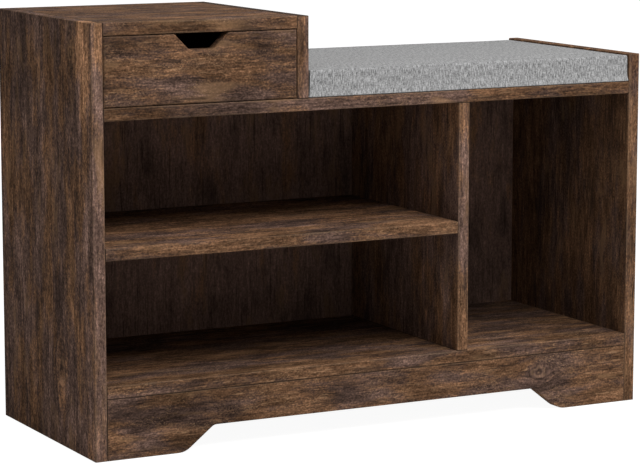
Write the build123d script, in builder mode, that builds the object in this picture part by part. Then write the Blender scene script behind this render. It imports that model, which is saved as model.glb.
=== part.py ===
from build123d import *
import os
from math import sqrt

# Entryway bench with a drawer, a seat cushion and three open bays, in millimetres, +Z up.
# The origin is on the floor under the middle of the bench, and the front faces -Y.

# Carcass boards
bench_width = 750.0
bench_depth = 290.0
board = 15.0
edge_round = 1.5
plinth_height = 73.0
lower_bay_height = 147.0
upper_bay_height = 147.0
right_bay_width = 234.0
drawer_bay_width = 249.0
drawer_bay_height = 83.0
seat_guard_height = 35.0

# Thin back boards, held in grooves near the rear edges
back_thickness = 3.0
back_inset = 10.0
groove_depth = 5.0
groove_play = 0.2

# Scroll cut in the plinth
foot_width = 99.0
arch_height = 29.7
arch_slope_run = 38.0
foot_round = 25.0
arch_round = 11.0

# Drawer
drawer_gap = 1.0
drawer_front_thickness = 15.0
drawer_side_thickness = 12.0
drawer_rear_gap = 12.0
drawer_bottom_thickness = 3.0
drawer_bottom_lift = 8.0
notch_top_width = 69.0
notch_depth = 18.5
notch_slope_run = 18.5
notch_round = 5.0
side_below_notch = 0.5

# Roller runners, bent from steel strip
runner_space = 12.7
runner_lift = 4.0
runner_front_gap = 2.0
runner_steel = 1.2
runner_bend = 0.8
runner_lip_height = 4.0
runner_lip_gap = 0.9
rail_headroom = 0.5
stop_setback = 32.0
stop_height = 3.0
stop_thickness = 2.0

# Nylon rollers and their riveted axles
roller_radius = 9.0
roller_width = 6.0
roller_play = 0.3
roller_inset = 12.0
axle_radius = 2.5
axle_play = 0.08
axle_head_radius = 3.2
axle_head_thickness = 0.8

# Cushion
cushion_gap = 1.0
cushion_front_inset = 1.0
cushion_rear_inset = 5.0
cushion_thickness = 34.0
cushion_edge_round = 3.0
cushion_corner_round = 4.0
cover_thickness = 1.2
base_cloth_thickness = 1.0
foam_play = 0.2

# Knock-down fittings
fit = 0.05
fitting_skin = 3.0
fitting_row_inset = 48.0
cam_radius = 7.5
cam_backset = 24.0
cam_slot_length = 8.0
cam_slot_width = 1.8
cam_slot_depth = 2.0
cam_sides = 10
bolt_radius = 3.0
bolt_sides = 6
bolt_past_centre = 2.0
dowel_radius = 4.0
dowel_sides = 6
dowel_in_end = 18.0
plinth_bolt_spread = 210.0
drawer_cam_radius = 6.0
drawer_dowel_radius = 3.0
drawer_dowel_spread = 15.0

# Pan-head wood screws
screw_radius = 1.6
screw_sides = 6
screw_head_radius = 3.0
screw_head_height = 1.2
screw_inset = 40.0
screw_head_gap = 0.6
back_screw_length = 34.0
back_screw_drop = 9.0

# Places of the carcass
x_left, x_right = -bench_width / 2, bench_width / 2
x_left_in, x_right_in = x_left + board, x_right - board
x_divider_right = x_right_in - right_bay_width
x_divider_left = x_divider_right - board
x_box_left = x_left_in + drawer_bay_width
x_box_right = x_box_left + board
y_front, y_rear = -bench_depth / 2, bench_depth / 2
y_back_rear = y_rear - back_inset
y_back_front = y_back_rear - back_thickness
y_inner_rear = y_back_front - groove_play
z_bottom = plinth_height
z_lower_bay = z_bottom + board
z_shelf = z_lower_bay + lower_bay_height
z_upper_bay = z_shelf + board
z_seat_under = z_upper_bay + upper_bay_height
z_seat = z_seat_under + board
z_top_under = z_seat + drawer_bay_height
z_top = z_top_under + board
z_right_top = z_seat + seat_guard_height

# Places of the drawer
y_drawer = y_front + drawer_front_thickness
y_drawer_rear = y_back_front - drawer_rear_gap
y_drawer_back = y_drawer_rear - drawer_side_thickness
x_drawer_left, x_drawer_right = x_left_in + runner_space, x_box_left - runner_space
x_inside_left = x_drawer_left + drawer_side_thickness
x_inside_right = x_drawer_right - drawer_side_thickness
x_drawer = (x_drawer_left + x_drawer_right) / 2
z_runner = z_seat + runner_lift
z_drawer = z_runner + runner_steel
z_front_low, z_front_high = z_seat + drawer_gap, z_top_under - drawer_gap
z_side_high = z_front_high - notch_depth - side_below_notch
z_drawer_bottom = z_drawer + drawer_bottom_lift
z_drawer_middle = (z_drawer_bottom + z_side_high) / 2

# Places of the runners. Offsets named u are counted from the cabinet wall towards the drawer.
u_lip = runner_space - runner_steel - runner_lip_gap
u_roller_far = u_lip - runner_steel - roller_play
u_roller_near = u_roller_far - roller_width
u_web = runner_space - runner_steel
y_channel = y_drawer + runner_front_gap
y_front_roller = y_channel + roller_inset
y_rear_roller = y_drawer_rear - roller_inset
z_roller = z_runner + runner_steel + roller_play + roller_radius
z_rail = z_roller + roller_radius + roller_play
z_channel_top = z_rail + runner_steel + rail_headroom + runner_steel
z_runner_screw = z_rail - screw_head_gap - screw_head_radius
y_stop = y_front_roller + stop_setback
y_runner_screws = (y_stop + screw_inset, y_rear_roller - screw_inset)

# The drawer stops where its rear roller meets the lug on the channel's floor
stop_bite = stop_height - roller_play
stop_reach = sqrt(roller_radius**2 - (roller_radius - stop_bite) ** 2)
drawer_travel = y_rear_roller - y_stop - stop_reach - roller_play
print(f"The drawer slides out by {drawer_travel:.1f} mm")

X, Y, Z = Vector(1, 0, 0), Vector(0, 1, 0), Vector(0, 0, 1)
LOW_CORNER = (Align.MIN, Align.MIN, Align.MIN)
STANDING = (Align.CENTER, Align.CENTER, Align.MIN)


def slab(low, high, mode=Mode.ADD):
    """A straight-sided block between two opposite corners, given in any order."""
    starts = tuple(min(pair) for pair in zip(low, high))
    lengths = (abs(b - a) for a, b in zip(low, high))
    with Locations(starts):
        Box(*lengths, align=LOW_CORNER, mode=mode)


def finish(piece, name):
    """Label a finished piece and write its file."""
    piece.part.label = name
    export_step(piece.part, f"parts/{name}.step")


# A joint is a plane on the face where two boards meet. Its z runs into the board that holds
# the cam, and its x points to the face of that board where the cam is put in.
def joint(point, into, face):
    return Plane(origin=point, x_dir=face, z_dir=into)


def turned(joints):
    """The same joints, seen from inside the board that holds the bolt."""
    return [Plane(origin=j.origin, x_dir=j.x_dir, z_dir=-j.z_dir) for j in joints]


def cam_mouths(joints, thickness):
    """Planes at the mouths of the cam pockets, z pointing out of the board."""
    return [
        Plane(
            origin=j.origin + j.z_dir * cam_backset + j.x_dir * (thickness / 2),
            x_dir=j.z_dir,
            z_dir=j.x_dir,
        )
        for j in joints
    ]


def pegs(planes, radius, sides, low, high, mode=Mode.ADD):
    """Round fittings, or the holes for them, from low to high along each plane's z.

    They are small and many, so each is drawn with a few flat sides.
    """
    with BuildSketch(*(plane.offset(low) for plane in planes)) as section:
        RegularPolygon(radius, sides)
    extrude(section.sketch, amount=high - low, mode=mode)


def drill(planes, radius, sides, depth):
    """Blind holes with a close fit, going in against each plane's z."""
    pegs(planes, radius + fit, sides, -depth, 0, mode=Mode.SUBTRACT)


def drill_cam_pockets(joints, thickness, radius):
    """The bolt's way in from the board's end, and the pocket for the cam."""
    drill(turned(joints), bolt_radius, bolt_sides, cam_backset + bolt_past_centre)
    drill(cam_mouths(joints, thickness), radius, cam_sides, thickness - fitting_skin)


def make_cams(joints, thickness, radius):
    """Cam discs with a driver slot and a passage for the bolt's end."""
    mouths = cam_mouths(joints, thickness)
    pegs(mouths, radius, cam_sides, fitting_skin - thickness, 0)
    with Locations(*mouths):
        Box(cam_slot_length, cam_slot_width, 2 * cam_slot_depth, mode=Mode.SUBTRACT)
    passage = cam_backset + bolt_past_centre
    pegs(joints, bolt_radius + fit, bolt_sides, 0, passage, mode=Mode.SUBTRACT)


def make_bolts(joints, grip):
    """Cam bolts, screwed into one board and reaching past the middle of the cam in the other."""
    pegs(joints, bolt_radius, bolt_sides, -grip, cam_backset + bolt_past_centre)


def make_dowels(joints, radius, grip):
    """Dowels, standing across the face where two boards meet."""
    pegs(joints, radius, dowel_sides, -grip, dowel_in_end)


def make_screws(planes, length):
    """Pan-head screws, each plane lying under the head with z pointing out."""
    pegs(planes, screw_head_radius, screw_sides, 0, screw_head_height)
    pegs(planes, screw_radius, screw_sides, -length, 0)


def end_joints(x, z, into, rows):
    """Joints at one end of a level board, with the cams on its underside."""
    return [joint((x, y, z + board / 2), into, -Z) for y in rows]


def upright_joints(x, z, into, face, rows):
    """Joints at the head or foot of an upright board."""
    return [joint((x + board / 2, y, z), into, face) for y in rows]


def carcass_joints(rows):
    """Every joint between two carcass boards, by name, at the given places along Y."""
    return {
        "bottom_left": end_joints(x_left_in, z_bottom, X, rows),
        "bottom_right": end_joints(x_right_in, z_bottom, -X, rows),
        "shelf_left": end_joints(x_left_in, z_shelf, X, rows),
        "shelf_right": end_joints(x_divider_left, z_shelf, -X, rows),
        "seat_left": end_joints(x_left_in, z_seat_under, X, rows),
        "seat_right": end_joints(x_right_in, z_seat_under, -X, rows),
        "top_left": end_joints(x_left_in, z_top_under, X, rows),
        "top_right": end_joints(x_box_left, z_top_under, -X, rows),
        "divider_foot": upright_joints(x_divider_left, z_lower_bay, Z, X, rows),
        "divider_head": upright_joints(x_divider_left, z_seat_under, -Z, X, rows),
        "box_foot": upright_joints(x_box_left, z_seat, Z, -X, rows),
    }


# Cams stand in two rows, front and rear, with a dowel between them. The shelf, which is
# trapped between two boards, has dowels in those rows instead.
bolt_grip = board - fitting_skin
fitting_rows = [y_front + fitting_row_inset, y_inner_rear - fitting_row_inset]
cams = carcass_joints(fitting_rows)
dowels = carcass_joints([(y_front + y_inner_rear) / 2])
for shelf_end in ("shelf_left", "shelf_right"):
    dowels[shelf_end] = cams.pop(shelf_end)
y_plinth = y_front + board / 2
z_plinth_bolt = z_bottom - cam_backset
cams["plinth_left"] = [joint((x_left_in, y_plinth, z_plinth_bolt), X, Y)]
cams["plinth_right"] = [joint((x_right_in, y_plinth, z_plinth_bolt), -X, Y)]
x_plinth_bolts = (-plinth_bolt_spread, plinth_bolt_spread)
cams["plinth_head"] = [joint((x, y_plinth, z_bottom), -Z, Y) for x in x_plinth_bolts]
dowels["plinth_head"] = [joint((0, y_plinth, z_bottom), -Z, Y)]


def receive(*names):
    """Drill the bolt and dowel holes of the named joints in the board they start from."""
    for name in names:
        if name in cams:
            drill(cams[name], bolt_radius, bolt_sides, bolt_grip)
        if name in dowels:
            drill(dowels[name], dowel_radius, dowel_sides, bolt_grip)


def enter(*names):
    """Drill the cam, bolt and dowel holes of the named joints in the board they enter."""
    for name in names:
        if name in cams:
            drill_cam_pockets(cams[name], board, cam_radius)
        if name in dowels:
            drill(turned(dowels[name]), dowel_radius, dowel_sides, dowel_in_end)


def front_edges(axis):
    """The edges of the active board's front face that run along an axis."""
    return faces().sort_by(Axis.Y)[0].edges().filter_by(axis)


def top_edges(axis):
    """The edges of the active board's top face that run along an axis."""
    return faces().sort_by(Axis.Z)[-1].edges().filter_by(axis)


def back_groove(x_low, x_high, z_low, z_high):
    """Groove for a back board, cut across the given reach of X and Z."""
    low = (x_low, y_back_front - groove_play, z_low)
    slab(low, (x_high, y_back_rear + groove_play, z_high), mode=Mode.SUBTRACT)


def back_sheet(x_low, x_high, z_low, z_high):
    """Thin board that fills a bay's back and the grooves round it."""
    reach = groove_depth - groove_play
    slab((x_low - reach, y_back_front, z_low - reach), (x_high + reach, y_back_rear, z_high + reach))


def runner_screws(wall, u, into):
    """Planes under the heads of one runner's screws, on the strip's inner face."""
    return [Plane(origin=(wall + u, y, z_runner_screw), z_dir=into) for y in y_runner_screws]


# Screws of the cabinet channels and of the drawer rails, left then right
channel_screws = {
    "left": runner_screws(x_left_in, runner_steel, X),
    "right": runner_screws(x_box_left, -runner_steel, -X),
}
rail_screws = {
    "left": runner_screws(x_left_in, u_web, -X),
    "right": runner_screws(x_box_left, -u_web, X),
}
channel_screw_length = runner_steel + board - fitting_skin
rail_screw_length = runner_steel + drawer_side_thickness - fitting_skin

os.makedirs("parts", exist_ok=True)

# Left side panel, full height
with BuildPart() as left_side_panel:
    slab((x_left, y_front, 0), (x_left_in, y_rear, z_top))
    fillet(front_edges(Axis.Z) + top_edges(Axis.Y), edge_round)
    groove_floor = x_left_in - groove_depth
    back_groove(groove_floor, x_left_in, z_lower_bay - groove_depth, z_seat_under + groove_depth)
    back_groove(groove_floor, x_left_in, z_seat - groove_depth, z_top_under + groove_depth)
    receive("bottom_left", "shelf_left", "seat_left", "top_left", "plinth_left")
    drill(channel_screws["left"], screw_radius, screw_sides, channel_screw_length)
finish(left_side_panel, "left_side_panel")

# Right side panel, ending as a guard beside the cushion
with BuildPart() as right_side_panel:
    slab((x_right_in, y_front, 0), (x_right, y_rear, z_right_top))
    fillet(front_edges(Axis.Z) + top_edges(Axis.Y), edge_round)
    groove_floor = x_right_in + groove_depth
    back_groove(x_right_in, groove_floor, z_lower_bay - groove_depth, z_seat_under + groove_depth)
    receive("bottom_right", "seat_right", "plinth_right")
finish(right_side_panel, "right_side_panel")

# Bottom panel between the sides, on the plinth
with BuildPart() as bottom_panel:
    slab((x_left_in, y_front, z_bottom), (x_right_in, y_rear, z_lower_bay))
    fillet(front_edges(Axis.X), edge_round)
    back_groove(x_left_in, x_right_in, z_lower_bay - groove_depth, z_lower_bay)
    enter("bottom_left", "bottom_right")
    receive("divider_foot", "plinth_head")
finish(bottom_panel, "bottom_panel")

# Shelf across the left bay
with BuildPart() as middle_shelf:
    slab((x_left_in, y_front, z_shelf), (x_divider_left, y_inner_rear, z_upper_bay))
    fillet(front_edges(Axis.X), edge_round)
    enter("shelf_left", "shelf_right")
finish(middle_shelf, "middle_shelf")

# Divider between the left and right bays
with BuildPart() as divider_panel:
    slab((x_divider_left, y_front, z_lower_bay), (x_divider_right, y_inner_rear, z_seat_under))
    fillet(front_edges(Axis.Z), edge_round)
    enter("divider_foot", "divider_head")
    receive("shelf_right")
finish(divider_panel, "divider_panel")

# Seat panel between the sides, running on under the drawer box
with BuildPart() as seat_panel:
    slab((x_left_in, y_front, z_seat_under), (x_right_in, y_rear, z_seat))
    fillet(front_edges(Axis.X), edge_round)
    back_groove(x_left_in, x_right_in, z_seat_under, z_seat_under + groove_depth)
    back_groove(x_left_in, x_box_left + groove_depth, z_seat - groove_depth, z_seat)
    enter("seat_left", "seat_right")
    receive("divider_head", "box_foot")
finish(seat_panel, "seat_panel")

# Right-hand side of the drawer box, standing on the seat panel
with BuildPart() as drawer_box_side:
    slab((x_box_left, y_front, z_seat), (x_box_right, y_rear, z_top))
    fillet(front_edges(Axis.Z) + top_edges(Axis.Y), edge_round)
    back_groove(x_box_left, x_box_left + groove_depth, z_seat, z_top_under + groove_depth)
    enter("box_foot")
    receive("top_right")
    drill(channel_screws["right"], screw_radius, screw_sides, channel_screw_length)
finish(drawer_box_side, "drawer_box_side")

# Top of the drawer box
with BuildPart() as drawer_box_top:
    slab((x_left_in, y_front, z_top_under), (x_box_left, y_rear, z_top))
    fillet(front_edges(Axis.X), edge_round)
    back_groove(x_left_in, x_box_left, z_top_under, z_top_under + groove_depth)
    enter("top_left", "top_right")
finish(drawer_box_top, "drawer_box_top")

# Plinth board with its scroll-cut arch
with BuildPart() as plinth_board:
    x_foot = x_right_in - foot_width
    x_arch = x_foot - arch_slope_run
    with BuildSketch(Plane.XZ.offset(-y_front)) as scroll:
        with BuildLine():
            Polyline(
                (x_left_in, plinth_height),
                (x_left_in, 0),
                (-x_foot, 0),
                (-x_arch, arch_height),
                (x_arch, arch_height),
                (x_foot, 0),
                (x_right_in, 0),
                (x_right_in, plinth_height),
                close=True,
            )
        make_face()
        fillet(scroll.vertices().group_by(Axis.Y)[0].sort_by(Axis.X)[1:-1], foot_round)
        arch_ends = [v for v in scroll.vertices() if abs(v.Y - arch_height) < fit]
        fillet(arch_ends, arch_round)
    extrude(amount=-board)
    fillet(top_edges(Axis.X).sort_by(Axis.Y)[0], edge_round)
    enter("plinth_left", "plinth_right", "plinth_head")
finish(plinth_board, "plinth_board")

# Thin back boards behind the bays and behind the drawer
with BuildPart() as back_board:
    back_sheet(x_left_in, x_right_in, z_lower_bay, z_seat_under)
finish(back_board, "back_board")

with BuildPart() as drawer_box_back:
    back_sheet(x_left_in, x_box_left, z_seat, z_top_under)
finish(drawer_box_back, "drawer_box_back")


def drawer_groove(x_low, x_high, y_low, y_high):
    """Groove for the drawer bottom, cut across the given reach of X and Y."""
    low = (x_low, y_low, z_drawer_bottom - groove_play)
    high = (x_high, y_high, z_drawer_bottom + drawer_bottom_thickness + groove_play)
    slab(low, high, mode=Mode.SUBTRACT)


def side_joints(x_outer, inward, heights):
    """Joints between the drawer front and one side, with cams on the side's inner face."""
    x = x_outer + inward * drawer_side_thickness / 2
    return [joint((x, y_drawer, z), Y, X * inward) for z in heights]


def back_screw_planes(x_outer, inward):
    """Planes under the heads of the screws from one side into the drawer back."""
    y = y_drawer_back + drawer_side_thickness / 2
    heights = (z_drawer_middle, z_side_high - back_screw_drop)
    return [Plane(origin=(x_outer, y, z), z_dir=X * -inward) for z in heights]


# The drawer's two sides: outer face, and the way from it into the drawer
drawer_walls = {"left": (x_drawer_left, 1), "right": (x_drawer_right, -1)}
drawer_grip = drawer_front_thickness - fitting_skin
dowel_heights = [z_drawer_middle - drawer_dowel_spread, z_drawer_middle + drawer_dowel_spread]
drawer_cams = {side: side_joints(*wall, [z_drawer_middle]) for side, wall in drawer_walls.items()}
drawer_dowels = {side: side_joints(*wall, dowel_heights) for side, wall in drawer_walls.items()}
back_screws = {side: back_screw_planes(*wall) for side, wall in drawer_walls.items()}

# Drawer front with its finger notch
with BuildPart() as drawer_front:
    with BuildSketch(Plane.XZ.offset(-y_front)) as outline:
        half_top = notch_top_width / 2
        half_floor = half_top - notch_slope_run
        z_notch = z_front_high - notch_depth
        with BuildLine():
            Polyline(
                (x_left_in + drawer_gap, z_front_low),
                (x_box_left - drawer_gap, z_front_low),
                (x_box_left - drawer_gap, z_front_high),
                (x_drawer + half_top, z_front_high),
                (x_drawer + half_floor, z_notch),
                (x_drawer - half_floor, z_notch),
                (x_drawer - half_top, z_front_high),
                (x_left_in + drawer_gap, z_front_high),
                close=True,
            )
        make_face()
        notch_corners = [v for v in outline.vertices() if abs(v.X - x_drawer) < half_top + fit]
        fillet(notch_corners, notch_round)
    extrude(amount=-drawer_front_thickness)
    chamfer(faces().sort_by(Axis.Y)[0].edges(), edge_round)
    x_groove_ends = (x_inside_left - groove_depth, x_inside_right + groove_depth)
    drawer_groove(*x_groove_ends, y_drawer - groove_depth, y_drawer)
    for side in drawer_walls:
        drill(drawer_cams[side], bolt_radius, bolt_sides, drawer_grip)
        drill(drawer_dowels[side], drawer_dowel_radius, dowel_sides, drawer_grip)
finish(drawer_front, "drawer_front")

# Drawer sides
for side, (x_outer, inward) in drawer_walls.items():
    x_inner = x_outer + inward * drawer_side_thickness
    with BuildPart() as drawer_side:
        slab((x_outer, y_drawer, z_drawer), (x_inner, y_drawer_rear, z_side_high))
        fillet(edges().filter_by(Axis.Y), edge_round)
        drawer_groove(x_inner - inward * groove_depth, x_inner, y_drawer, y_drawer_back + groove_depth)
        drill_cam_pockets(drawer_cams[side], drawer_side_thickness, drawer_cam_radius)
        drill(turned(drawer_dowels[side]), drawer_dowel_radius, dowel_sides, dowel_in_end)
        drill(back_screws[side], screw_radius, screw_sides, back_screw_length)
        drill(rail_screws[side], screw_radius, screw_sides, rail_screw_length)
    finish(drawer_side, f"drawer_side_{side}")

# Drawer back, between the sides
with BuildPart() as drawer_back:
    slab((x_inside_left, y_drawer_back, z_drawer), (x_inside_right, y_drawer_rear, z_side_high))
    fillet(top_edges(Axis.X), edge_round)
    drawer_groove(x_inside_left, x_inside_right, y_drawer_back, y_drawer_back + groove_depth)
    for side in drawer_walls:
        drill(back_screws[side], screw_radius, screw_sides, back_screw_length)
finish(drawer_back, "drawer_back")

# Thin drawer bottom, in the grooves all round
with BuildPart() as drawer_bottom:
    reach = groove_depth - groove_play
    slab(
        (x_inside_left - reach, y_drawer - reach, z_drawer_bottom),
        (x_inside_right + reach, y_drawer_back + reach, z_drawer_bottom + drawer_bottom_thickness),
    )
finish(drawer_bottom, "drawer_bottom")


def strip(y_start, y_end, points):
    """A bent steel strip whose middle line passes through the points, drawn out along Y."""
    with BuildSketch(Plane.XZ.offset(-y_start)) as section:
        with BuildLine() as path:
            FilletPolyline(*points, radius=runner_bend)
        trace(path.line, line_width=runner_steel)
    extrude(section.sketch, amount=y_end - y_start, dir=Y)


def axle(plane, journal):
    """A riveted roller axle standing on a plane, with a head that keeps the roller on."""
    with Locations(plane):
        Cylinder(axle_radius, journal, align=STANDING)
    with Locations(plane.offset(journal)):
        Cylinder(axle_head_radius, axle_head_thickness, align=STANDING)


# Runners and rollers, the right-hand pair mirroring the left
half_steel = runner_steel / 2
for side, wall, inward in (("left", x_left_in, 1), ("right", x_box_left, -1)):
    x_near, x_far = wall + inward * u_roller_near, wall + inward * u_roller_far
    x_lip, x_web = wall + inward * (u_lip - half_steel), wall + inward * (u_web + half_steel)
    x_wall_web = wall + inward * half_steel

    # Cabinet channel, with the drawer stop and the front roller's axle
    with BuildPart() as channel:
        strip(
            y_channel,
            y_drawer_rear,
            [
                (x_lip, z_runner + runner_lip_height),
                (x_lip, z_runner + half_steel),
                (x_wall_web, z_runner + half_steel),
                (x_wall_web, z_channel_top - half_steel),
                (x_far, z_channel_top - half_steel),
            ],
        )
        stop_top = z_runner + runner_steel + stop_height
        slab((x_near, y_stop - stop_thickness, z_runner + half_steel), (x_far, y_stop, stop_top))
        axle(
            Plane(origin=(x_wall_web, y_front_roller, z_roller), z_dir=X * inward),
            u_roller_far + roller_play - half_steel,
        )
        drill(channel_screws[side], screw_radius, screw_sides, runner_steel)
    finish(channel, f"cabinet_runner_{side}")

    # Drawer rail under the drawer side, with the rear roller's axle
    with BuildPart() as rail:
        strip(
            y_drawer + groove_play,
            y_drawer_rear,
            [
                (x_near, z_rail + half_steel),
                (x_web, z_rail + half_steel),
                (x_web, z_runner + half_steel),
                (wall + inward * (runner_space + drawer_side_thickness), z_runner + half_steel),
            ],
        )
        axle(
            Plane(origin=(x_web, y_rear_roller, z_roller), z_dir=X * -inward),
            u_web + half_steel - u_roller_near + roller_play,
        )
        drill(rail_screws[side], screw_radius, screw_sides, runner_steel)
    finish(rail, f"drawer_runner_{side}")

    # Nylon rollers
    for place, y_roller in (("front", y_front_roller), ("rear", y_rear_roller)):
        with BuildPart() as roller:
            with Locations(Plane(origin=((x_near + x_far) / 2, y_roller, z_roller), z_dir=X)):
                Cylinder(roller_radius, roller_width)
                Hole(axle_radius + axle_play)
        finish(roller, f"{place}_roller_{side}")


def cushion_core(inset):
    """A block with cut-off edges, inside the cushion's outline by an inset."""
    with BuildPart() as core:
        slab(
            (x_cushion_low + inset, y_cushion_low + inset, z_cover),
            (x_cushion_high - inset, y_cushion_high - inset, z_cushion_top - inset),
        )
        chamfer(edges().filter_by(Axis.Z) + faces().sort_by(Axis.Z)[-1].edges(), cushion_edge_round)
    return core.part


# Cushion: a sewn cover with a rounded top edge, a foam core and a base cloth
x_cushion_low = x_box_right + cushion_gap
x_cushion_high = x_right_in - cushion_gap
y_cushion_low = y_front + cushion_front_inset
y_cushion_high = y_rear - cushion_rear_inset
z_cover = z_seat + base_cloth_thickness
z_cushion_top = z_seat + cushion_thickness

cushion_length = x_cushion_high - x_cushion_low
cushion_width = y_cushion_high - y_cushion_low

with BuildSketch(Plane.XY.offset(z_cover)) as cushion_plan:
    with Locations(((x_cushion_low + x_cushion_high) / 2, (y_cushion_low + y_cushion_high) / 2)):
        RectangleRounded(cushion_length, cushion_width, cushion_corner_round)

with BuildPart() as cushion_cover:
    extrude(cushion_plan.sketch, amount=z_cushion_top - z_cover)
    fillet(faces().sort_by(Axis.Z)[-1].edges(), cushion_edge_round)
    add(cushion_core(cover_thickness), mode=Mode.SUBTRACT)
finish(cushion_cover, "cushion_cover")

with BuildPart() as cushion_foam:
    add(cushion_core(cover_thickness + foam_play))
finish(cushion_foam, "cushion_foam")

with BuildPart() as cushion_base_cloth:
    extrude(cushion_plan.sketch, amount=-base_cloth_thickness)
finish(cushion_base_cloth, "cushion_base_cloth")

# Fittings of the carcass
with BuildPart() as cabinet_cam_locks:
    for joints in cams.values():
        make_cams(joints, board, cam_radius)
finish(cabinet_cam_locks, "cabinet_cam_locks")

with BuildPart() as cabinet_cam_bolts:
    for joints in cams.values():
        make_bolts(joints, bolt_grip)
finish(cabinet_cam_bolts, "cabinet_cam_bolts")

with BuildPart() as cabinet_dowels:
    for joints in dowels.values():
        make_dowels(joints, dowel_radius, bolt_grip)
finish(cabinet_dowels, "cabinet_dowels")

with BuildPart() as cabinet_runner_screws:
    for planes in channel_screws.values():
        make_screws(planes, channel_screw_length)
finish(cabinet_runner_screws, "cabinet_runner_screws")

# Fittings of the drawer
with BuildPart() as drawer_cam_locks:
    for joints in drawer_cams.values():
        make_cams(joints, drawer_side_thickness, drawer_cam_radius)
finish(drawer_cam_locks, "drawer_cam_locks")

with BuildPart() as drawer_cam_bolts:
    for joints in drawer_cams.values():
        make_bolts(joints, drawer_grip)
finish(drawer_cam_bolts, "drawer_cam_bolts")

with BuildPart() as drawer_dowel_pins:
    for joints in drawer_dowels.values():
        make_dowels(joints, drawer_dowel_radius, drawer_grip)
finish(drawer_dowel_pins, "drawer_dowels")

with BuildPart() as drawer_back_screws:
    for planes in back_screws.values():
        make_screws(planes, back_screw_length)
finish(drawer_back_screws, "drawer_back_screws")

with BuildPart() as drawer_runner_screws:
    for planes in rail_screws.values():
        make_screws(planes, rail_screw_length)
finish(drawer_runner_screws, "drawer_runner_screws")
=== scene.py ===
"""Looks of an entryway bench: rustic boards, a drawer on roller runners and a woven seat cushion."""

import logging
import math
from dataclasses import dataclass
from dataclasses import field
from enum import Enum

import bpy
import numpy as np
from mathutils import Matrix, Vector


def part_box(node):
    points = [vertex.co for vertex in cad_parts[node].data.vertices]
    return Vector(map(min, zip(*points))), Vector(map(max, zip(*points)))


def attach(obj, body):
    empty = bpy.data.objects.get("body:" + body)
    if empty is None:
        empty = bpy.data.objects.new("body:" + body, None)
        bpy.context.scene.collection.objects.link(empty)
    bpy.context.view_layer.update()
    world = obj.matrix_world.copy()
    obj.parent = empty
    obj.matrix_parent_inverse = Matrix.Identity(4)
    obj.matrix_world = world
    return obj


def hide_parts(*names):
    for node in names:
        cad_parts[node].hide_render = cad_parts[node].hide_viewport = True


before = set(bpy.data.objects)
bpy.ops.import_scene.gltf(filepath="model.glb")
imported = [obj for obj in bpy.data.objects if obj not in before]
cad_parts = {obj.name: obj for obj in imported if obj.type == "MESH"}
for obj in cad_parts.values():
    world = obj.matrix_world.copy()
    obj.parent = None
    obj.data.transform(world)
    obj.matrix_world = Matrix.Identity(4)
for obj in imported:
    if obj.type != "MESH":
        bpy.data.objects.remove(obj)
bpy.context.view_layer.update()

Colour = tuple[float, float, float]
Point = tuple[float, float, float]
Socket = bpy.types.NodeSocket
log = logging.getLogger("bench")

# The middle of a noise that has three numbers, and the range that holds most values of a noise
MID_NOISE = (0.5, 0.5, 0.5)
NOISE_RANGE = (0.3, 0.7)


class Grain(Enum):
    """The axis that a board's grain runs along."""

    ALONG_X = 0
    ALONG_Y = 1
    ALONG_Z = 2


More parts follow.
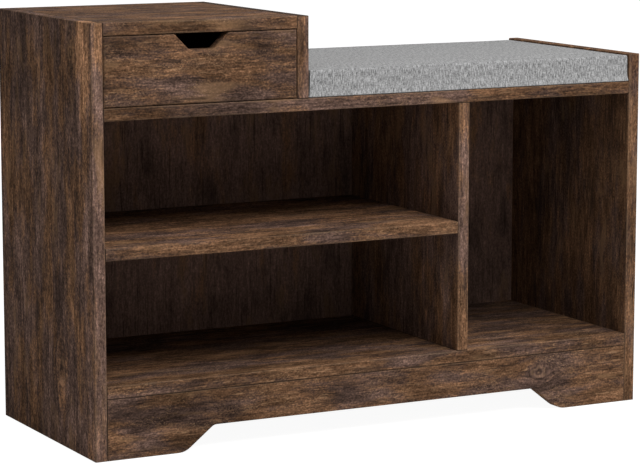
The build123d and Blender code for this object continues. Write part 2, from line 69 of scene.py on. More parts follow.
class ShaderGraph:
    """Adds and joins the shader nodes of one material, round a Principled shader."""

    def __init__(self, name: str) -> None:
        """Start a material of that name.

        Args:
            name: the material's name.
        """
        self.material = bpy.data.materials.new(name)
        self.material.use_nodes = True
        tree = self.material.node_tree
        self.nodes = tree.nodes
        self.links = tree.links
        self.nodes.clear()
        self.shader = self.add("ShaderNodeBsdfPrincipled")
        output = self.add("ShaderNodeOutputMaterial")
        self.links.new(self.shader.outputs[0], output.inputs["Surface"])

    def add(self, kind: str, **settings: object) -> bpy.types.Node:
        """Add a node.

        Args:
            kind: Blender's name of the node type.
            settings: attributes to set on it.

        Returns:
            The node.
        """
        node = self.nodes.new(kind)
        for key, value in settings.items():
            setattr(node, key, value)
        return node

    def put(self, socket: Socket, value: object) -> None:
        """Join a socket to another one, or set it to a plain value.

        Args:
            socket: the socket to fill.
            value: the socket that feeds it, or its value.
        """
        if isinstance(value, Socket):
            self.links.new(value, socket)
        else:
            socket.default_value = value

    def set(self, **values: object) -> None:
        """Set or join the shader's own sockets, named with _ for each blank.

        Args:
            values: a socket, a number or a colour for each name.
        """
        for key, value in values.items():
            if isinstance(value, tuple):
                value = (*value, 1.0)
            self.put(self.shader.inputs[key.replace("_", " ")], value)

    def coords(self, output: str = "Object") -> Socket:
        """The texture coordinates of that name."""
        return self.add("ShaderNodeTexCoord").outputs[output]

    def math(self, operation: str, first: object, second: object = 0.0) -> Socket:
        """One step of arithmetic on two numbers.

        Args:
            operation: Blender's name of the step.
            first: a socket or a number.
            second: the other one, where the step has two.

        Returns:
            The result.
        """
        node = self.add("ShaderNodeMath", operation=operation)
        self.put(node.inputs[0], first)
        self.put(node.inputs[1], second)
        return node.outputs[0]

    def weighted(self, parts: list[tuple[Socket, float]], start: object = 0.0) -> Socket:
        """A start value plus the sum of each part's value times its share.

        Args:
            parts: pairs of a value and its share.
            start: a socket or a number.

        Returns:
            The sum.
        """
        total = start
        for value, share in parts:
            total = self.math("ADD", total, self.math("MULTIPLY", value, share))
        return total

    def wave(self, value: Socket, length: float) -> Socket:
        """A sine wave of that length."""
        return self.math("SINE", self.math("MULTIPLY", value, 2 * math.pi / length))

    def vector(self, operation: str, first: object, second: object = (0.0, 0.0, 0.0)) -> Socket:
        """One step of arithmetic on two vectors; LENGTH gives a number.

        Args:
            operation: Blender's name of the step.
            first: a socket or three numbers.
            second: the other one, where the step has two, and a number for SCALE.

        Returns:
            The result.
        """
        node = self.add("ShaderNodeVectorMath", operation=operation)
        self.put(node.inputs[0], first)
        if operation == "SCALE":
            self.put(node.inputs["Scale"], second)
        else:
            self.put(node.inputs[1], second)
        return node.outputs["Value" if operation == "LENGTH" else "Vector"]

    def split(self, vector: Socket) -> list[Socket]:
        """A vector's three numbers.

        Args:
            vector: the vector.

        Returns:
            A socket for each of X, Y and Z.
        """
        node = self.add("ShaderNodeSeparateXYZ")
        self.put(node.inputs[0], vector)
        return list(node.outputs)

    def join(self, first: object, second: object, third: object) -> Socket:
        """A vector of three numbers.

        Args:
            first: its X.
            second: its Y.
            third: its Z.

        Returns:
            The vector.
        """
        node = self.add("ShaderNodeCombineXYZ")
        for socket, value in zip(node.inputs, (first, second, third)):
            self.put(socket, value)
        return node.outputs[0]

    def noise(
        self, vector: Socket, stretch: Point, detail: float = 2.0, roughness: float = 0.5, output: int = 0
    ) -> Socket:
        """Cloudy noise.

        Args:
            vector: where it is read.
            stretch: how many times each coordinate repeats in a metre.
            detail: how many finer layers it has.
            roughness: how strong each finer layer is.
            output: 0 for one number, 1 for three.

        Returns:
            The noise, from 0 to 1 and mostly near 0.5.
        """
        node = self.add("ShaderNodeTexNoise")
        self.put(node.inputs["Vector"], self.vector("MULTIPLY", vector, stretch))
        node.inputs["Scale"].default_value = 1.0
        node.inputs["Detail"].default_value = detail
        node.inputs["Roughness"].default_value = roughness
        return node.outputs[output]

    def span(self, value: Socket, low: float, high: float, start: float = 0.0, end: float = 1.0) -> Socket:
        """A smooth step from start, where the value is low, to end, where it is high.

        Args:
            value: what the step follows.
            low: the value where it starts.
            high: the value where it ends.
            start: the result at low.
            end: the result at high.

        Returns:
            The result.
        """
        node = self.add("ShaderNodeMapRange", interpolation_type="SMOOTHSTEP")
        for socket, number in zip(node.inputs, (value, low, high, start, end)):
            self.put(socket, number)
        return node.outputs[0]

    def ramp(self, value: Socket, stops: list[tuple[float, Colour]]) -> Socket:
        """A colour that changes along a row of stops.

        Args:
            value: what the colour follows.
            stops: pairs of a value and its colour, from 0 to 1.

        Returns:
            The colour.
        """
        node = self.add("ShaderNodeValToRGB")
        elements = node.color_ramp.elements
        while len(elements) < len(stops):
            elements.new(0.5)
        for element, (place, colour) in zip(elements, stops):
            element.position = place
            element.color = (*colour, 1.0)
        self.put(node.inputs[0], value)
        return node.outputs[0]

    def mix(self, share: object, first: object, second: object) -> Socket:
        """Two colours mixed by a share of the second.

        Args:
            share: how much of the second there is.
            first: a socket or a colour.
            second: the colour that covers it.

        Returns:
            The mixed colour.
        """
        node = self.add("ShaderNodeMix", data_type="RGBA")
        for socket, value in zip((node.inputs[0], node.inputs[6], node.inputs[7]), (share, first, second)):
            self.put(socket, (*value, 1.0) if isinstance(value, tuple) else value)
        return node.outputs[2]

    def bump(self, height: Socket, distance: float, strength: float) -> None:
        """Give the surface fine relief.

        Args:
            height: how high each point is, mostly from 0 to 1.
            distance: the height of 1, in metres.
            strength: how strongly it shows.
        """
        node = self.add("ShaderNodeBump")
        node.inputs["Distance"].default_value = distance
        node.inputs["Strength"].default_value = strength
        self.put(node.inputs["Height"], height)
        self.put(self.shader.inputs["Normal"], node.outputs[0])


@dataclass(frozen=True)
class PrintNoise:
    """A noise of the board print, with its repeats in a metre across and along the grain.

    The share is what it adds to the depth of the print.
    """

    across: float
    along: float
    detail: float = 2.0
    roughness: float = 0.5
    share: float = 0.0

    def read(self, graph: ShaderGraph, place: Socket, output: int = 0) -> Socket:
        """The noise at each point of a board: one number, or three where the output is 1."""
        stretch = (self.across, self.across, self.along)
        return graph.noise(place, stretch, self.detail, self.roughness, output)


@dataclass(frozen=True)
class Cover:
    """How far a mark covers a surface: not at all where a value starts, by its share where it is full."""

    start: float
    full: float
    share: float = 1.0

    def over(self, graph: ShaderGraph, value: Socket, times: float = 1.0) -> Socket:
        """The cover at each point, with its share taken that many times."""
        return graph.span(value, self.start, self.full, 0.0, times * self.share)


@dataclass(frozen=True)
class Patch:
    """A soft oval of lighter or darker colour on a board, for its print and, on some boards, as painted
    light and shade: its middle, its half sizes and how much lighter it is.
    """

    across: float
    along: float
    half_across: float
    half_along: float
    lift: float


@dataclass(frozen=True)
class Knot:
    """A knot in the print, with the grain flowing round it."""

    across: float
    along: float
    radius: float
    length: float


@dataclass(frozen=True)
class RusticFoil:
    """Rustic brown print on a board: clouds, streaks and fibres, with stains, flecks, cracks and knots.

    The print is worked out in the board's own coordinates, in metres: across its width, through
    its thickness and along its grain. The board's edges are worn. A seam is an axis and the
    side, -1 or 1, on which the board meets a neighbour.
    """

    grain: Grain
    seed: float
    tone: float = 1.0
    contrast: float = 1.0
    warmth: float = 0.0
    flecked: float = 1.0
    patches: tuple[Patch, ...] = ()
    knots: tuple[Knot, ...] = ()
    seams: tuple[tuple[int, int], ...] = ()

    # How far the seed moves the print, and how the grain and the patches wander
    seed_shift = (1.0, 1.7, 2.3)
    sway = PrintNoise(15.0, 5.0)
    line_sway = (0.008, 0.008, 0.0)
    patch_sway = (0.025, 0.0, 0.09)
    patch_fade = (1.5, 0.2)

    # Layers whose sum is the depth of the print, with less contrast on a board's narrow edges
    clouds = PrintNoise(23.0, 8.0, 3.0, 0.5, 0.22)
    mottles = PrintNoise(64.0, 15.0, 4.0, 0.62, 0.29)
    streaks = PrintNoise(185.0, 22.0, 3.0, 0.6, 0.34)
    fibres = PrintNoise(620.0, 110.0, 2.0, 0.5, 0.34)
    specks = PrintNoise(520.0, 360.0, 2.0, 0.6, 0.46)
    depth_reach = 0.25
    edge_band = (0.0003, 0.0008)
    edge_contrast = 1.05

    # Brightness from the darkest print to the palest, and the two hues that it is multiplied by
    levels = ((0.00, 0.025), (0.25, 0.065), (0.50, 0.109), (0.75, 0.166), (1.00, 0.330))
    golden_hue = (1.0, 0.52, 0.28)
    ashen_hue = (0.87, 0.528, 0.41)
    hues = PrintNoise(34.0, 9.0, 4.0, 0.55)
    hue_from_depth = 0.16
    hue_from_patches = 0.15
    hue_span = (0.49, 0.67)

    # Dark stains and golden glows, crumbs in some zones, threads in the golden print, and thin cracks
    blotches = PrintNoise(40.0, 11.0, 4.0, 0.6)
    stain_cover = Cover(0.47, 0.34, 0.46)
    glow_cover = Cover(0.55, 0.70, 0.50)
    zones = PrintNoise(36.0, 13.0, 3.0)
    zone_cover = Cover(0.47, 0.62)
    crumbs = PrintNoise(700.0, 420.0, 2.0, 0.7)
    crumb_cover = Cover(0.53, 0.74, 0.62)
    threads = PrintNoise(430.0, 34.0, 3.0, 0.6)
    thread_cover = Cover(0.57, 0.70, 0.42)
    golden_cover = Cover(0.1, 0.9)
    cracks = PrintNoise(330.0, 13.0)
    crack_cover = Cover(0.40, 0.31, 0.50)

    # Knots, by the distance from their middle in their own sizes; a ring takes 2 pi of the phase
    knot_noise = PrintNoise(190.0, 110.0, 3.0)
    knot_unevenness = 1.6
    knot_pull = Cover(5.3, 1.1, 0.85)
    knot_inside = Cover(2.7, 1.0)
    ring_phase = 6.5
    dark_ring_cover = Cover(-0.1, 0.9, 0.45)
    pale_ring_cover = Cover(0.1, -0.9, 0.25)

    # Worn edges and joint lines, by the distance from them in metres
    wear_cover = Cover(0.0050, 0.0028, 0.28)
    wear_raggedness = 0.006
    joint_cover = Cover(0.0011, 0.0005, 0.8)

    fleck_colour = (0.36, 0.215, 0.12)
    glow_colour = (0.215, 0.122, 0.063)
    stain_colour = (0.030, 0.020, 0.016)
    crack_colour = (0.016, 0.011, 0.009)
    wear_colour = (0.230, 0.150, 0.095)

    specular = 0.01
    roughness = (0.82, 0.68)
    relief_share = 0.6
    relief_height = 0.0006
    relief_strength = 0.35

    def wide_axis(self, low: Point, high: Point) -> int:
        """The axis that the board's width lies along."""
        axes = [axis for axis in range(3) if axis != self.grain.value]
        return max(axes, key=lambda axis: high[axis] - low[axis])

    def grain_space(self, graph: ShaderGraph, low: Point, high: Point) -> Socket:
        """Coordinates across the width, through the thickness and along the grain of a board.

        Args:
            graph: the material's nodes.
            low: the board's lowest corner.
            high: its highest corner.

        Returns:
            The vector (width, thickness, length), in metres.
        """
        wide = self.wide_axis(low, high)
        thin = 3 - wide - self.grain.value
        x_y_z = graph.split(graph.coords())
        return graph.join(x_y_z[wide], x_y_z[thin], x_y_z[self.grain.value])

    def flow(self, graph: ShaderGraph, place: Socket) -> tuple[Socket, object, object]:
        """The grain drawn in towards each knot, so that its lines part round it.

        Args:
            graph: the material's nodes.
            place: the board's own coordinates.

        Returns:
            The coordinates along the bent grain, and the cover of the knots' dark and pale rings.
        """
        bent = graph.vector("ADD", place, tuple(self.seed * part for part in self.seed_shift))
        dark: object = 0.0
        pale: object = 0.0
        for knot in self.knots:
            offset = graph.vector("SUBTRACT", place, (knot.across, 0.0, knot.along))
            shape = graph.vector("MULTIPLY", offset, (1 / knot.radius, 0.0, 1 / knot.length))
            uneven = graph.math("MULTIPLY", self.knot_noise.read(graph, bent), self.knot_unevenness)
            reach = graph.math("ADD", graph.vector("LENGTH", shape), uneven)
            sideways = graph.vector("MULTIPLY", offset, (1.0, 0.0, 0.0))
            pull = graph.vector("SCALE", sideways, self.knot_pull.over(graph, reach))
            bent = graph.vector("SUBTRACT", bent, pull)
            rings = graph.math("SINE", graph.math("MULTIPLY", reach, self.ring_phase))
            inside = self.knot_inside.over(graph, reach)
            dark_here = graph.math("MULTIPLY", inside, self.dark_ring_cover.over(graph, rings))
            pale_here = graph.math("MULTIPLY", inside, self.pale_ring_cover.over(graph, rings))
            dark = graph.math("MAXIMUM", dark, dark_here)
            pale = graph.math("MAXIMUM", pale, pale_here)
        return bent, dark, pale

    def from_edges(self, graph: ShaderGraph, place: Socket, low: Point, high: Point) -> Socket:
        """The distance from the two narrow edges at the sides of the board's width.

        Args:
            graph: the material's nodes.
            place: the board's own coordinates.
            low: the board's lowest corner.
            high: its highest corner.

        Returns:
            The distance, in metres.
        """
        axis = self.wide_axis(low, high)
        offset = graph.math("SUBTRACT", graph.split(place)[0], (low[axis] + high[axis]) / 2)
        return graph.math("SUBTRACT", (high[axis] - low[axis]) / 2, graph.math("ABSOLUTE", offset))

    def depth(self, graph: ShaderGraph, layers: dict[PrintNoise, Socket], inward: Socket) -> Socket:
        """How pale the print is, from 0 to 1: the sum of each noise times its share, stretched.

        Args:
            graph: the material's nodes.
            layers: the layers of the print, as read.
            inward: the distance from the board's narrow edges.

        Returns:
            The depth of the print.
        """
        middle = 0.5 * sum(layer.share for layer in layers)
        value = graph.weighted([(noise, layer.share) for layer, noise in layers.items()], -middle)
        calm = min(self.contrast, self.edge_contrast)
        stretch = graph.span(inward, *self.edge_band, calm, self.contrast)
        return graph.span(graph.math("MULTIPLY", value, stretch), -self.depth_reach, self.depth_reach)

    def shade(self, graph: ShaderGraph, place: Socket, wander: Socket) -> object:
        """The sum of the patches' lifts at each point; on some boards these are painted light and shade.

        Args:
            graph: the material's nodes.
            place: the board's own coordinates.
            wander: a small uneven shift, which makes the patches ragged.

        Returns:
            The lift, 0 where there is no patch.
        """
        total: object = 0.0
        for patch in self.patches:
            offset = graph.vector("SUBTRACT", place, (patch.across, 0.0, patch.along))
            ragged = graph.vector("ADD", offset, graph.vector("MULTIPLY", wander, self.patch_sway))
            shape = graph.vector("MULTIPLY", ragged, (1 / patch.half_across, 0.0, 1 / patch.half_along))
            lift = graph.span(graph.vector("LENGTH", shape), *self.patch_fade, 0.0, patch.lift)
            total = graph.math("ADD", total, lift)
        return total

    def golden_share(self, graph: ShaderGraph, lines: Socket, value: Socket, lift: object) -> Socket:
        """How golden the print is: a noise, and more in the pale print and in the lifted patches.

        Args:
            graph: the material's nodes.
            lines: the coordinates along the grain.
            value: the depth of the print.
            lift: the sum of the patches' lifts.

        Returns:
            The share of the golden hue, from 0 to 1.
        """
        warm = graph.weighted([(value, self.hue_from_depth)], self.hues.read(graph, lines))
        if self.patches:
            warm = graph.weighted([(lift, self.hue_from_patches)], warm)
        start, full = self.hue_span
        return graph.span(warm, start - self.warmth, full - self.warmth)

    def ramp(self, graph: ShaderGraph, value: Socket, hue: Colour) -> Socket:
        """The row of brightness levels in one hue, darkened or lightened by the board's tone."""
        stops = [(at, tuple(self.tone * level * part for part in hue)) for at, level in self.levels]
        return graph.ramp(value, stops)

    def flecks(self, graph: ShaderGraph, plain: Socket, lines: Socket, golden: Socket) -> Socket:
        """How far pale crumbs and threads cover the print.

        Args:
            graph: the material's nodes.
            plain: the board's coordinates, bent round its knots.
            lines: the same with the grain's sway.
            golden: the share of the golden hue.

        Returns:
            The cover, from 0 to 1.
        """
        zones = self.zone_cover.over(graph, self.zones.read(graph, plain))
        crumbs = self.crumb_cover.over(graph, self.crumbs.read(graph, plain), self.flecked)
        threads = self.thread_cover.over(graph, self.threads.read(graph, lines), self.flecked)
        golden_threads = graph.math("MULTIPLY", self.golden_cover.over(graph, golden), threads)
        return graph.math("MAXIMUM", graph.math("MULTIPLY", zones, crumbs), golden_threads)

    def joint_lines(self, graph: ShaderGraph, low: Point, high: Point) -> object:
        """How dark the thin lines at the seams are, by the distance from those sides of the board.

        Args:
            graph: the material's nodes.
            low: the board's lowest corner.
            high: its highest corner.

        Returns:
            The cover of the lines, 0 where there is none.
        """
        place = graph.split(graph.coords())
        line: object = 0.0
        for axis, side in self.seams:
            edge = high[axis] if side > 0 else low[axis]
            distance = graph.math("ABSOLUTE", graph.math("SUBTRACT", place[axis], edge))
            line = graph.math("MAXIMUM", line, self.joint_cover.over(graph, distance))
        return line

    def worn_edges(self, graph: ShaderGraph, low: Point, high: Point, roughen: Socket) -> Socket:
        """How worn each point is, by its distance from the nearest edge of the board's box.

        On a face the least of the three distances to the box's sides is zero, so the middle
        one is the distance to the nearest edge.

        Args:
            graph: the material's nodes.
            low: the board's lowest corner.
            high: its highest corner.
            roughen: a noise that makes the wear ragged.

        Returns:
            The cover of the wear.
        """
        centre = tuple((a + b) / 2 for a, b in zip(low, high))
        half = tuple((b - a) / 2 for a, b in zip(low, high))
        offset = graph.vector("ABSOLUTE", graph.vector("SUBTRACT", graph.coords(), centre))
        x, y, z = graph.split(graph.vector("SUBTRACT", half, offset))
        least = graph.math("MINIMUM", x, y)
        most = graph.math("MAXIMUM", x, y)
        middle = graph.math("MAXIMUM", least, graph.math("MINIMUM", most, z))
        ragged = graph.weighted([(roughen, self.wear_raggedness)], middle)
        return self.wear_cover.over(graph, ragged)

    def feel(self, graph: ShaderGraph, fibres: Socket, streaks: Socket, cracks: Socket) -> None:
        """Set the roughness by the fibres, and raise the fibres and the streaks above the cracks.

        Args:
            graph: the material's nodes.
            fibres: the fibres of the print.
            streaks: its streaks.
            cracks: the cover of its cracks.
        """
        graph.set(Roughness=graph.span(fibres, *NOISE_RANGE, *self.roughness))
        relief = graph.math("MULTIPLY", graph.math("ADD", fibres, streaks), self.relief_share)
        graph.bump(graph.math("SUBTRACT", relief, cracks), self.relief_height, self.relief_strength)

    def material(self, name: str, low: Point, high: Point) -> bpy.types.Material:
        """The material of one board.

        Args:
            name: the board's name.
            low: its lowest corner.
            high: its highest corner.

        Returns:
            The material.
        """
        graph = ShaderGraph(f"foil_{name}")
        place = self.grain_space(graph, low, high)
        plain, dark_rings, pale_rings = self.flow(graph, place)
        wander = graph.vector("SUBTRACT", self.sway.read(graph, plain, 1), MID_NOISE)
        lines = graph.vector("ADD", plain, graph.vector("MULTIPLY", wander, self.line_sway))

        drawn = (self.clouds, self.mottles, self.streaks, self.fibres)
        layers = {layer: layer.read(graph, lines) for layer in drawn}
        layers[self.specks] = self.specks.read(graph, plain)
        value = self.depth(graph, layers, self.from_edges(graph, place, low, high))
        lift = self.shade(graph, place, wander)
        golden = self.golden_share(graph, lines, value, lift)
        ashen_print = self.ramp(graph, value, self.ashen_hue)
        colour = graph.mix(golden, ashen_print, self.ramp(graph, value, self.golden_hue))

        blotches = self.blotches.read(graph, lines)
        colour = graph.mix(self.stain_cover.over(graph, blotches), colour, self.stain_colour)
        colour = graph.mix(self.glow_cover.over(graph, blotches), colour, self.glow_colour)
        colour = graph.mix(self.flecks(graph, plain, lines, golden), colour, self.fleck_colour)
        cracks = self.crack_cover.over(graph, self.cracks.read(graph, lines))
        colour = graph.mix(cracks, colour, self.crack_colour)
        if self.knots:
            colour = graph.mix(dark_rings, colour, self.crack_colour)
            colour = graph.mix(pale_rings, colour, self.fleck_colour)
        # The patches scale the colour: lighter or darker print, and on the shelf, the bottom panel and the
        # back boards painted light and shade.
        if self.patches:
            colour = graph.vector("SCALE", colour, graph.math("ADD", lift, 1.0))
        worn = self.worn_edges(graph, low, high, layers[self.streaks])
        colour = graph.mix(worn, colour, self.wear_colour)
        if self.seams:
            colour = graph.mix(self.joint_lines(graph, low, high), colour, self.crack_colour)
        graph.set(Base_Color=colour, Specular_IOR_Level=self.specular)
        self.feel(graph, layers[self.fibres], layers[self.streaks], cracks)
        return graph.material


@dataclass(frozen=True)
class CoatedMetal:
    """Sheet or cast metal with a fine grain in its coating."""

    colour: Colour
    metallic: float
    roughness: float
    grain: float = 900.0

    # How far the grain darkens, lightens and roughens the coating
    dark_share = 0.84
    pale_share = 1.12
    roughness_spread = 0.08
    relief_height = 0.0002
    relief_strength = 0.2

    def material(self, name: str) -> bpy.types.Material:
        """The material, under that name.

        Args:
            name: the material's name.

        Returns:
            The material.
        """
        graph = ShaderGraph(name)
        cast = graph.noise(graph.coords(), (self.grain, self.grain, self.grain))
        dark = tuple(self.dark_share * part for part in self.colour)
        pale = tuple(min(1.0, self.pale_share * part) for part in self.colour)
        graph.set(Base_Color=graph.ramp(cast, list(zip(NOISE_RANGE, (dark, pale)))), Metallic=self.metallic)
        rough = (self.roughness - self.roughness_spread, self.roughness + self.roughness_spread)
        graph.set(Roughness=graph.span(cast, *NOISE_RANGE, *rough))
        graph.bump(cast, self.relief_height, self.relief_strength)
        return graph.material


@dataclass(frozen=True)
class TurnedNylon:
    """Pale moulded nylon with faint rings and a soft gloss."""

    colour: Colour = (0.80, 0.80, 0.77)

    mottles = (260.0, 1400.0, 1400.0)
    dark_to_pale = (0.25, 0.75)
    dark_share = 0.86
    roughness = (0.34, 0.48)
    subsurface = 0.08
    relief_height = 0.0001
    relief_strength = 0.15

    def material(self, name: str) -> bpy.types.Material:
        """The material, under that name.

        Args:
            name: the material's name.

        Returns:
            The material.
        """
        graph = ShaderGraph(name)
        mottle = graph.noise(graph.coords(), self.mottles)
        dark = tuple(self.dark_share * part for part in self.colour)
        graph.set(Base_Color=graph.ramp(mottle, list(zip(self.dark_to_pale, (dark, self.colour)))))
        graph.set(Roughness=graph.span(mottle, *NOISE_RANGE, *self.roughness))
        graph.set(Subsurface_Weight=self.subsurface)
        graph.bump(mottle, self.relief_height, self.relief_strength)
        return graph.material


@dataclass(frozen=True)
class RawBeech:
    """Raw beech with short dark flecks along its grain, which runs along X."""

    pale: Colour = (0.66, 0.47, 0.29)
    dark: Colour = (0.46, 0.30, 0.17)

    lines = (60.0, 700.0, 700.0)
    line_detail = 3.0
    dark_to_pale = (0.3, 0.65)
    flecks = (240.0, 1500.0, 1500.0)
    fleck_detail = 1.0
    fleck_cover = Cover(0.56, 0.66, 0.5)
    roughness = 0.72
    relief_height = 0.0003
    relief_strength = 0.3

    def material(self, name: str) -> bpy.types.Material:
        """The material, under that name.

        Args:
            name: the material's name.

        Returns:
            The material.
        """
        graph = ShaderGraph(name)
        place = graph.coords()
        lines = graph.noise(place, self.lines, self.line_detail)
        flecks = self.fleck_cover.over(graph, graph.noise(place, self.flecks, self.fleck_detail))
        colour = graph.ramp(lines, list(zip(self.dark_to_pale, (self.dark, self.pale))))
        graph.set(Base_Color=graph.mix(flecks, colour, self.dark), Roughness=self.roughness)
        graph.bump(lines, self.relief_height, self.relief_strength)
        return graph.material


@dataclass(frozen=True)
class HeatherWeave:
    """Grey heathered weave: slubby yarns one way, finer ones across them, read from the UV map."""

    pale: Colour = (0.425, 0.424, 0.424)
    middle: Colour = (0.250, 0.249, 0.249)
    dark: Colour = (0.095, 0.095, 0.095)
    yarn: float = 0.0014
    slub: float = 0.0075

    # Repeats in a metre of the yarns' bends and of the blotches, and the shift of a bend in metres
    bends = (70.0, 70.0, 1.0)
    bend_shift = (0.002, 0.002, 0.0)
    blotches = (48.0, 22.0, 1.0)

    # Repeats of the dots and of the cross yarns in the width of a yarn
    dots = (1.0, 0.6)
    cross_yarns = (0.45, 1.1)

    # What each noise adds to the depth of the weave, and where its three greys lie
    slub_share = 0.50
    dot_share = 0.26
    cross_share = 0.20
    blotch_share = 0.04
    thread_share = 0.018
    dark_to_pale = (0.38, 0.50, 0.62)

    roughness = 0.92
    sheen = 0.15
    sheen_roughness = 0.5
    specular = 0.15
    thread_relief = 0.12
    relief_height = 0.0012
    relief_strength = 0.55

    def yarn_noise(
        self, graph: ShaderGraph, place: Socket, repeats: tuple[float, float], detail: float
    ) -> Socket:
        """Noise that repeats so many times in the width of a yarn, both ways.

        Args:
            graph: the material's nodes.
            place: where it is read.
            repeats: how many times it repeats, both ways.
            detail: how many finer layers it has.

        Returns:
            The noise.
        """
        u_repeats, v_repeats = (part / self.yarn for part in repeats)
        return graph.noise(place, (u_repeats, v_repeats, 1.0), detail)

    def material(self, name: str) -> bpy.types.Material:
        """The material, under that name.

        Args:
            name: the material's name.

        Returns:
            The material.
        """
        graph = ShaderGraph(name)
        place = graph.coords("UV")
        bend = graph.vector("SUBTRACT", graph.noise(place, self.bends, detail=1.0, output=1), MID_NOISE)
        place = graph.vector("ADD", place, graph.vector("MULTIPLY", bend, self.bend_shift))
        slubs = graph.noise(place, (1 / self.yarn, 1 / self.slub, 1.0))
        dots = self.yarn_noise(graph, place, self.dots, detail=1.0)
        across = self.yarn_noise(graph, place, self.cross_yarns, detail=2.0)
        blotches = graph.noise(place, self.blotches)
        u, v, _ = graph.split(place)
        threads = graph.math("MULTIPLY", graph.wave(u, self.yarn), graph.wave(v, self.yarn))
        value = graph.weighted(
            [
                (slubs, self.slub_share),
                (dots, self.dot_share),
                (across, self.cross_share),
                (blotches, self.blotch_share),
                (threads, self.thread_share),
            ]
        )
        greys = (self.dark, self.middle, self.pale)
        colour = graph.ramp(value, list(zip(self.dark_to_pale, greys)))
        graph.set(Base_Color=colour, Roughness=self.roughness, Specular_IOR_Level=self.specular)
        graph.set(Sheen_Weight=self.sheen, Sheen_Roughness=self.sheen_roughness)
        relief = graph.weighted([(threads, self.thread_relief)], value)
        graph.bump(relief, self.relief_height, self.relief_strength)
        return graph.material


@dataclass(frozen=True)
class DustCloth:
    """Thin black non-woven cloth, with pressed fibres and a grid of small bonding dots."""

    fibre: Colour = (0.035, 0.035, 0.037)
    bond: Colour = (0.012, 0.012, 0.013)
    pitch: float = 0.003

    fibres = (1300.0, 1300.0, 1300.0)
    fibre_detail = 3.0
    dot_cover = Cover(0.35, 0.8)
    roughness = 0.9
    relief_height = 0.0004
    relief_strength = 0.5

    def material(self, name: str) -> bpy.types.Material:
        """The material, under that name.

        Args:
            name: the material's name.

        Returns:
            The material.
        """
        graph = ShaderGraph(name)
        place = graph.coords()
        u, v, _ = graph.split(place)
        grid = graph.math("MULTIPLY", graph.wave(u, self.pitch), graph.wave(v, self.pitch))
        dots = self.dot_cover.over(graph, grid)
        fibres = graph.noise(place, self.fibres, self.fibre_detail)
        colour = graph.ramp(fibres, list(zip(NOISE_RANGE, (self.bond, self.fibre))))
        graph.set(Base_Color=graph.mix(dots, colour, self.bond), Roughness=self.roughness)
        graph.bump(graph.math("SUBTRACT", fibres, dots), self.relief_height, self.relief_strength)
        return graph.material


def dress_node(name: str, material: bpy.types.Material) -> None:
    """Put a material on a CAD node.

    Args:
        name: the node's name.
        material: the material.
    """
    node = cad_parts[name]
    if node.material_slots:
        node.material_slots[0].material = material
    else:
        node.data.materials.append(material)
    log.info("dressed %s with %s", name, material.name)


def dress_boards(boards: dict[str, RusticFoil]) -> None:
    """Put a foil of its own on each named board.

    Args:
        boards: the foil of each node.
    """
    for name, foil in boards.items():
        low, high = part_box(name)
        dress_node(name, foil.material(name, tuple(low), tuple(high)))


def mesh_piece(name: str, points: np.ndarray, faces: np.ndarray) -> bpy.types.Object:
    """A new mesh object.

    Args:
        name: its name.
        points: an array of n by 3 places.
        faces: an array of m by 4 corner numbers.

    Returns:
        The object, linked to the scene.
    """
    mesh = bpy.data.meshes.new(name)
    mesh.from_pydata(points.tolist(), [], faces.tolist())
    mesh.update()
    piece = bpy.data.objects.new(name, mesh)
    bpy.context.scene.collection.objects.link(piece)
    return piece


def rounded_loop(half_x: np.ndarray, half_y: np.ndarray, corner: np.ndarray, steps: int) -> np.ndarray:
    """Closed loops round rounded rectangles.

    Each loop has four quarter circles of the corner radius, joined by straight sides: a point
    is the middle of its quarter plus the radius times (cos a, sin a).

    Args:
        half_x: half the width of each loop.
        half_y: half the depth of each loop.
        corner: the corner radius of each loop.
        steps: points in a quarter.

    Returns:
        An array of loops by points by 2.
    """
    quarter = np.repeat(np.arange(4), steps)
    angle = (quarter + np.tile(np.linspace(0, 1, steps), 4)) * math.pi / 2
    sign_x = np.where((quarter == 0) | (quarter == 3), 1.0, -1.0)
    sign_y = np.where(quarter < 2, 1.0, -1.0)
    x = sign_x * (half_x - corner)[:, None] + corner[:, None] * np.cos(angle)
    y = sign_y * (half_y - corner)[:, None] + corner[:, None] * np.sin(angle)
    return np.stack((x, y), axis=-1)


def grid_faces(rows: int, columns: int) -> np.ndarray:
    """Quads of a grid whose columns close into a ring.

    Args:
        rows: points one way.
        columns: points round the ring.

    Returns:
        An array of quads by 4 point numbers, counted row by row.
    """
    row = np.arange(rows - 1)[:, None] * columns
    near = np.arange(columns)[None, :]
    far = (near + 1) % columns
    corners = (row + near, row + far, row + columns + far, row + columns + near)
    return np.stack(corners, axis=-1).reshape(-1, 4)


